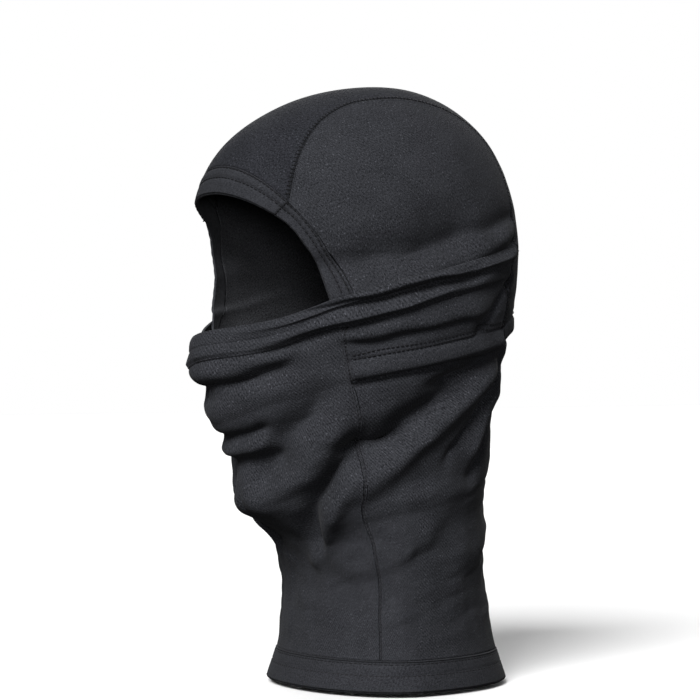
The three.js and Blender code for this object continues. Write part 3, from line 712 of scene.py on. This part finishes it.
band_angle = np.linspace(BAND_REACH, -BAND_REACH, 420)[None, :]
band_w = steps(64, (0.003, 0.01, 0.022))[:, None]
band_side = np.abs(band_angle)
roll = band_roll(band_angle)


def bell(x, middle, above, below):
    """Bell curve with its own width on either side of its middle."""
    return np.exp(-(((x - middle) / np.where(x < middle, above, below)) ** 2))


# Places and widths across the band are shares of it, and those along it are degrees.
fading = 1 - 0.7 * eased(band_side, 74, 118)
upper_roll = BAND_ROLL * bell(band_w, 0.22, 0.15, 0.09) * eased(band_w, 0, 0.12)
lower_roll = BAND_ROLL * bell(band_w, 0.7, 0.12, 0.13) + 0.9 * bell(band_w, 0.6, 0.035, 0.04)
flat_fold = 0.8 * bell(band_w, 0.2, 0.2, 0.3) + 0.5 * bell(band_w, 0.78, 0.15, 0.14)
flat_groove = 0.6 * bell(band_w, 0.56, 0.04, 0.04)
wander = 1 + 0.14 * soft_noise(band_side / 11 + np.where(band_angle < 0, 30, 0), band_w * 2, 21)
rolls = (roll * fading * (upper_roll + lower_roll) + (1 - roll) * (flat_fold - flat_groove)) * wander
over_hem = np.exp(-(((band_side - 50) / 14) ** 4))
beside_ear = eased(band_side, 60, 74)
top_tuck = (1 - eased(band_w, 0, 0.12)) * beside_ear
ending = eased(band_side, 112, 131)
low_tuck = eased(band_w, 0.84, 1) * (1 - over_hem)
tuck = np.maximum.reduce((top_tuck, low_tuck, ending + 0 * band_w))
sunk = np.minimum(roll * bell(band_w, 0.43, 0.12, 0.1) * eased(band_side, 56, 68), 1)
band_height = BAND_BASE - (BAND_BASE - BAND_LOW) * np.maximum(tuck, sunk) + rolls * (1 - 0.7 * ending)
slide = (roll * fading * (0.5 * upper_roll + 0.6 * lower_roll) + (1 - roll) * 0.5 * flat_fold) * wander
band_level = band_top(band_angle) + (band_bottom(band_angle) - band_top(band_angle)) * band_w
band_place = place_at(band_angle, band_level + slide / LOWER_DEPTH)
band_uv = np.stack(np.broadcast_arrays(band_angle * DEGREE, band_w * BAND_CLOTH), -1)
band_wall = WALL - 0.9 * tuck
mask_band = sewn_sheet(
    "mask_top_band", band_place, band_height, band_height + band_wall, band_uv, form=head_form
)
MASK_DARK, MASK_LIGHT = (0.0051, 0.0054, 0.0066), (0.0366, 0.038, 0.0438)
mask_jersey = jersey("mask_jersey", MASK_DARK, MASK_LIGHT, fleck=0.5, twill=0.13)
mask_band.data.materials.append(mask_jersey)
mask_band.data.materials.append(brushed_inside_lit)
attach(mask_band, "root")
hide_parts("mask_band")

# Front of the mask
# One panel of the same jersey covers nose, mouth, chin and throat. It hangs in soft folds
# between the two cheek seams, and its upper edge is hidden under the band.
THROAT = np.array([  # share of the way from the jaw to the bottom hem, angle
    (0.0, 60.8), (0.06, 62.6), (0.13, 63.8), (0.33, 63.0), (0.52, 60.0), (0.7, 59.0), (1.0, 59.0),
])
JAW_LEVEL = float(face_level(np.array(1.0)))
MASK_TOP, MASK_SAG = 1.215, 0.024
MASK_FROM, FAR_MASK_FROM = 0.8, 0.9  # share of the way down the cheeks
FLAT_SEAM = 4.0  # how closely the mask's and the neck's seams are sewn
SEAM_SHARE = 0.4  # of the step beside the hood's seams
throat_angle = through(THROAT, 1)
mask_w = 1 - 2 * steps(190, (0.0015, 0.0045, 0.009))[None, :]
down_cheek = np.linspace(0, 1, 36)[:-1, None]
begin = MASK_FROM + (FAR_MASK_FROM - MASK_FROM) * eased(-mask_w, 0, 1)
cheek_share = begin + (1 - begin) * down_cheek
cheek_centre = MASK_TOP + (JAW_LEVEL + MASK_SAG - MASK_TOP) * down_cheek
cheek_place = place_at(
    mask_w * face_angle(cheek_share), cheek_centre + (face_level(cheek_share) - cheek_centre) * mask_w**2
)
throat_part = steps(170, (0.0005, 0.0015, 0.003))[:, None]
throat_level = JAW_LEVEL + (BOTTOM_HEM_TOP - JAW_LEVEL) * throat_part
throat_place = place_at(
    mask_w * throat_angle(throat_part), throat_level + MASK_SAG * (1 - throat_part) * (1 - mask_w**2)
)
mask_place = np.concatenate([cheek_place, throat_place])
top, bottom, start, end = edge_runs(mask_place)
mask_height = WALL + SEAM_SHARE * (seam_relief(start) + seam_relief(end))
mask_under, mask_uv = np.zeros_like(mask_height), cut_uv(mask_place, 0)
mask_front = sewn_sheet("mask_front", mask_place, mask_under, mask_height, mask_uv, FLAT_SEAM)
mask_front.data.materials.append(mask_jersey)
mask_front.data.materials.append(brushed_inside_lit)
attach(mask_front, "root")
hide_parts("mask_panel")

# Sides of the neck tube
# Two panels of the mask's jersey run from inside the hood's jaw edge down to the bottom hem
# and meet behind. Diagonal folds cross them below the jaw.
UNDER_INNER = -2.0  # height where it lies inside the hood's edge
UNDER_FROM = 0.93  # share of the way down the hood's side
back_share = np.linspace(0, 1, 60)[None, 1:]
neck_side_w = steps(130, (0.0015, 0.0045, 0.009))[None, :-4]


def hood_row(share):
    """A rib of the hood carried on past the crown seam to the centre back."""
    side = side_place(share, np.concatenate([neck_side_w, [[1.0]]], 1))
    seam = place_at(seam_angle(share), seam_level(share))
    nape = across_line(seam, centre_level(share), 1 - back_share)
    return np.concatenate([side, nape], 1)


under_rows = hood_row(np.linspace(UNDER_FROM, 1, 14)[:-1, None])
jaw_row = hood_row(np.ones((1, 1)))
jaw_angle, jaw_row_level = angle_of(jaw_row), level_of(jaw_row)
jaw_angle = np.where(jaw_angle < 0, 180, jaw_angle)
neck_share = steps(170, (0.0005, 0.0015, 0.003))[:, None]
from_back = (180 - jaw_angle) / (180 - throat_angle(0.0))
neck_rows = place_at(
    jaw_angle + (throat_angle(neck_share) - throat_angle(0.0)) * from_back,
    jaw_row_level + (BOTTOM_HEM_TOP - jaw_row_level) * neck_share,
)
neck_grid = np.concatenate([under_rows, neck_rows])
neck_down = np.concatenate([np.zeros(len(under_rows)), neck_share[:, 0]])[:, None]
out = eased(neck_down, 0.004, 0.035)
for word, sign in (("left", 1), ("right", -1)):
    place = neck_grid * np.array((sign, 1))
    top, bottom, start, end = edge_runs(place)
    inner = UNDER_INNER * (1 - out) + 0 * start
    height = inner + WALL + SEAM_SHARE * (seam_relief(end) + seam_relief(start))
    neck = sewn_sheet(f"neck_{word}", place, inner, height, cut_uv(place, 120 * sign), FLAT_SEAM)
    neck.data.materials.append(mask_jersey)
    neck.data.materials.append(brushed_inside_lit)
    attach(neck, "root")
    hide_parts(f"neck_side_{word}")

# Bottom hem
# The neck tube ends in a plain turned hem of jersey. It is 18 mm wide and held by two rows
# of stitching.
BOTTOM_ROWS, BOTTOM_DEPTH, BOTTOM_WIDTH = (2.2, 8.6), 0.35, 0.7  # grooves under the stitches
ring_angle = np.linspace(-180, 180, 460)[None, :]
ring_w = steps(26, (0.006, 0.02, 0.045))[:, None]
ring_place = place_at(ring_angle, BOTTOM_HEM_TOP + (2 - BOTTOM_HEM_TOP) * ring_w)
top, bottom, start, end = edge_runs(ring_place)
ring_grooves = sum(np.exp(-((top - at) / BOTTOM_WIDTH) ** 2) for at in BOTTOM_ROWS)
ring_height = HEM_OUTER - BOTTOM_DEPTH * ring_grooves + edge_waves(start, bottom, 0.1, 1.1, 4)
ring_under, ring_uv = np.full_like(ring_height, HEM_INNER), np.stack([start, top], -1)
neck_hem = sewn_sheet("neck_bottom_hem", ring_place, ring_under, ring_height, ring_uv)
neck_hem.data.materials.append(hem_jersey)
neck_hem.data.materials.append(turned_lit_jersey)
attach(neck_hem, "root")
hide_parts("neck_hem")

# Stitching
# Matt polyester thread. The crown seam has a row along it, and short stitches cross the
# gusset's edge beside it. Each hem has two rows, which sink a little into the cloth.
THREAD = 0.72  # thickness
TICK_SHARE = 0.974  # of the way from the gusset's middle to the crown seam
HEM_SINK = 0.5


def thread_of(name, value):
    """Matt thread of one grey, a little bluish."""
    finish = Finish(name)
    color = (value, value, 1.15 * value, 1)
    surface = finish.node("BsdfPrincipled", Base_Color=color, Roughness=0.7, Specular_IOR_Level=0.12)
    finish.node("OutputMaterial", Surface=surface)
    return finish.material


THREADS = (("black_thread", 0.0045), ("hem_thread", 0.009), ("mask_thread", 0.017))
black_thread, hem_thread, mask_thread = (thread_of(word, value) for word, value in THREADS)


def stitches(name, lines, pitch, length, lift, thread, turn=0.0):
    """Short closed spindles along lines of places, one each pitch. Each has a ring of six
    corners at three stations and a point at either end; turn is its angle to the line."""
    stations = np.array((-0.36, 0.0, 0.36)) * length
    girth = np.array((0.8, 1.0, 0.8)) * THREAD / 2
    corner = np.arange(6) * np.pi / 3
    spindle = [(-0.5 * length, 0, 0)]
    spindle += [(s, g * math.cos(c), g * math.sin(c)) for s, g in zip(stations, girth) for c in corner]
    spindle = np.array(spindle + [(0.5 * length, 0, 0)])
    near = [(0, 1 + (k + 1) % 6, 1 + k) for k in range(6)]
    far = [(19, 13 + k, 13 + (k + 1) % 6) for k in range(6)]
    sides = [(1 + 6 * s + k, 1 + 6 * s + (k + 1) % 6, 7 + 6 * s + (k + 1) % 6, 7 + 6 * s + k)
             for s in (0, 1) for k in range(6)]
    points = []
    for line in lines:
        bare = cloth_form(line)
        run = np.concatenate([[0], np.cumsum(np.linalg.norm(np.diff(bare, axis=0), axis=1))])
        at = np.arange(pitch, run[-1] - pitch / 2, pitch)
        place = np.stack([np.interp(at, run, line[:, k]) for k in (0, 1)], -1)
        point, normal = cloth_form(place), normal_of(cloth_form, place)
        along = np.gradient(point, axis=0)
        along -= normal * (along * normal).sum(1, keepdims=True)
        along /= np.linalg.norm(along, axis=1, keepdims=True)
        aside = np.cross(normal, along)
        axis = along * math.cos(turn) + aside * math.sin(turn)
        cross = np.cross(normal, axis)
        base = point + normal * lift
        points.append(
            base[:, None] + spindle[None, :, :1] * axis[:, None]
            + spindle[None, :, 1:2] * cross[:, None] + spindle[None, :, 2:] * normal[:, None]
        )
    points = np.concatenate(points).reshape(-1, 20, 3)
    count = len(points)
    offset = (np.arange(count) * 20)[:, None, None]
    triangles = (np.array(near + far)[None] + offset).reshape(-1, 3)
    quads = (np.array(sides)[None] + offset).reshape(-1, 4)
    mesh = bpy.data.meshes.new(name)
    mesh.from_pydata((points.reshape(-1, 3) * MM).tolist(), [], triangles.tolist() + quads.tolist())
    mesh.polygons.foreach_set("use_smooth", np.ones(len(mesh.polygons), bool))
    mesh.materials.append(thread)
    mesh.update()
    piece = bpy.data.objects.new(name, mesh)
    bpy.context.scene.collection.objects.link(piece)
    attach(piece, "root")
    return piece


def both(line):
    """A line of places and its mirror image."""
    return [line, line * np.array((-1, 1))]


fine = np.linspace(0.004, 0.996, 400)
crown_line = place_at(seam_angle(fine), seam_level(fine))
crown_stitches = stitches("crown_seam_stitches", both(crown_line), 1.9, 1.5, WALL + 0.05, black_thread)
tick_line = across_line(crown_line, centre_level(fine), TICK_SHARE)
crown_ticks = stitches(
    "crown_seam_ticks", both(tick_line), 2.4, 2.8, WALL + 0.35, black_thread, math.pi / 2
)
brow_corner = place_at(BROW_CORNER[0], BROW_CORNER[1])
corner_line = crown_line[0] + (brow_corner - crown_line[0]) * np.linspace(0, 1, 40)[:, None]
corner_stitches = stitches(
    "brow_corner_stitches", both(corner_line), 1.7, 1.5, HEM_OUTER - HEM_SINK, black_thread
)
inside_stitches = stitches("crown_seam_inside", both(crown_line), 1.9, 1.6, -0.1, black_thread)

hem_fine = np.arange(0, hem_place.shape[1], 2)
hem_lines = [hem_place[0, hem_fine] * (1 - at) + hem_place[-1, hem_fine] * at for at in HEM_ROWS]
hem_stitches = stitches("face_hem_stitches", hem_lines, 3.0, 2.3, HEM_OUTER - HEM_SINK, hem_thread)

JAW_END = 0.06  # share of the hood's ribs next to the jaw
JAW_RUN = float(face_level(np.array(1.0)) - face_level(np.array(1 - JAW_END))) * LOWER_DEPTH / JAW_END
jaw_lines = []
for distance in JAW_ROWS:
    jaw_share = np.ones((1, 1)) * (1 - distance / JAW_RUN)
    jaw_lines += both(side_place(jaw_share, np.linspace(0.01, 0.995, 200)[None, :])[0])
jaw_lift = WALL + JAW_TURN - HEM_SINK
jaw_stitches = stitches("jaw_hem_stitches", jaw_lines, 2.8, 2.3, jaw_lift, hem_thread)

throat_line = place_at(throat_angle(fine), JAW_LEVEL + (BOTTOM_HEM_TOP - JAW_LEVEL) * fine)
notch_share = 0.8 + 0.2 * fine
notch_line = place_at(face_angle(notch_share), face_level(notch_share))
throat_stitches = stitches("throat_seam_stitches", both(throat_line), 2.6, 1.9, WALL - 0.1, mask_thread)
notch_stitches = stitches("cheek_seam_stitches", both(notch_line), 2.2, 1.7, WALL + 0.1, mask_thread)

ring_fine = np.linspace(-179, 179, 500)
ring_lines = [place_at(ring_fine, BOTTOM_HEM_TOP + at / LOWER_DEPTH) for at in BOTTOM_ROWS]
neck_stitches = stitches("neck_hem_stitches", ring_lines, 3.0, 2.5, HEM_OUTER - 0.25, hem_thread)
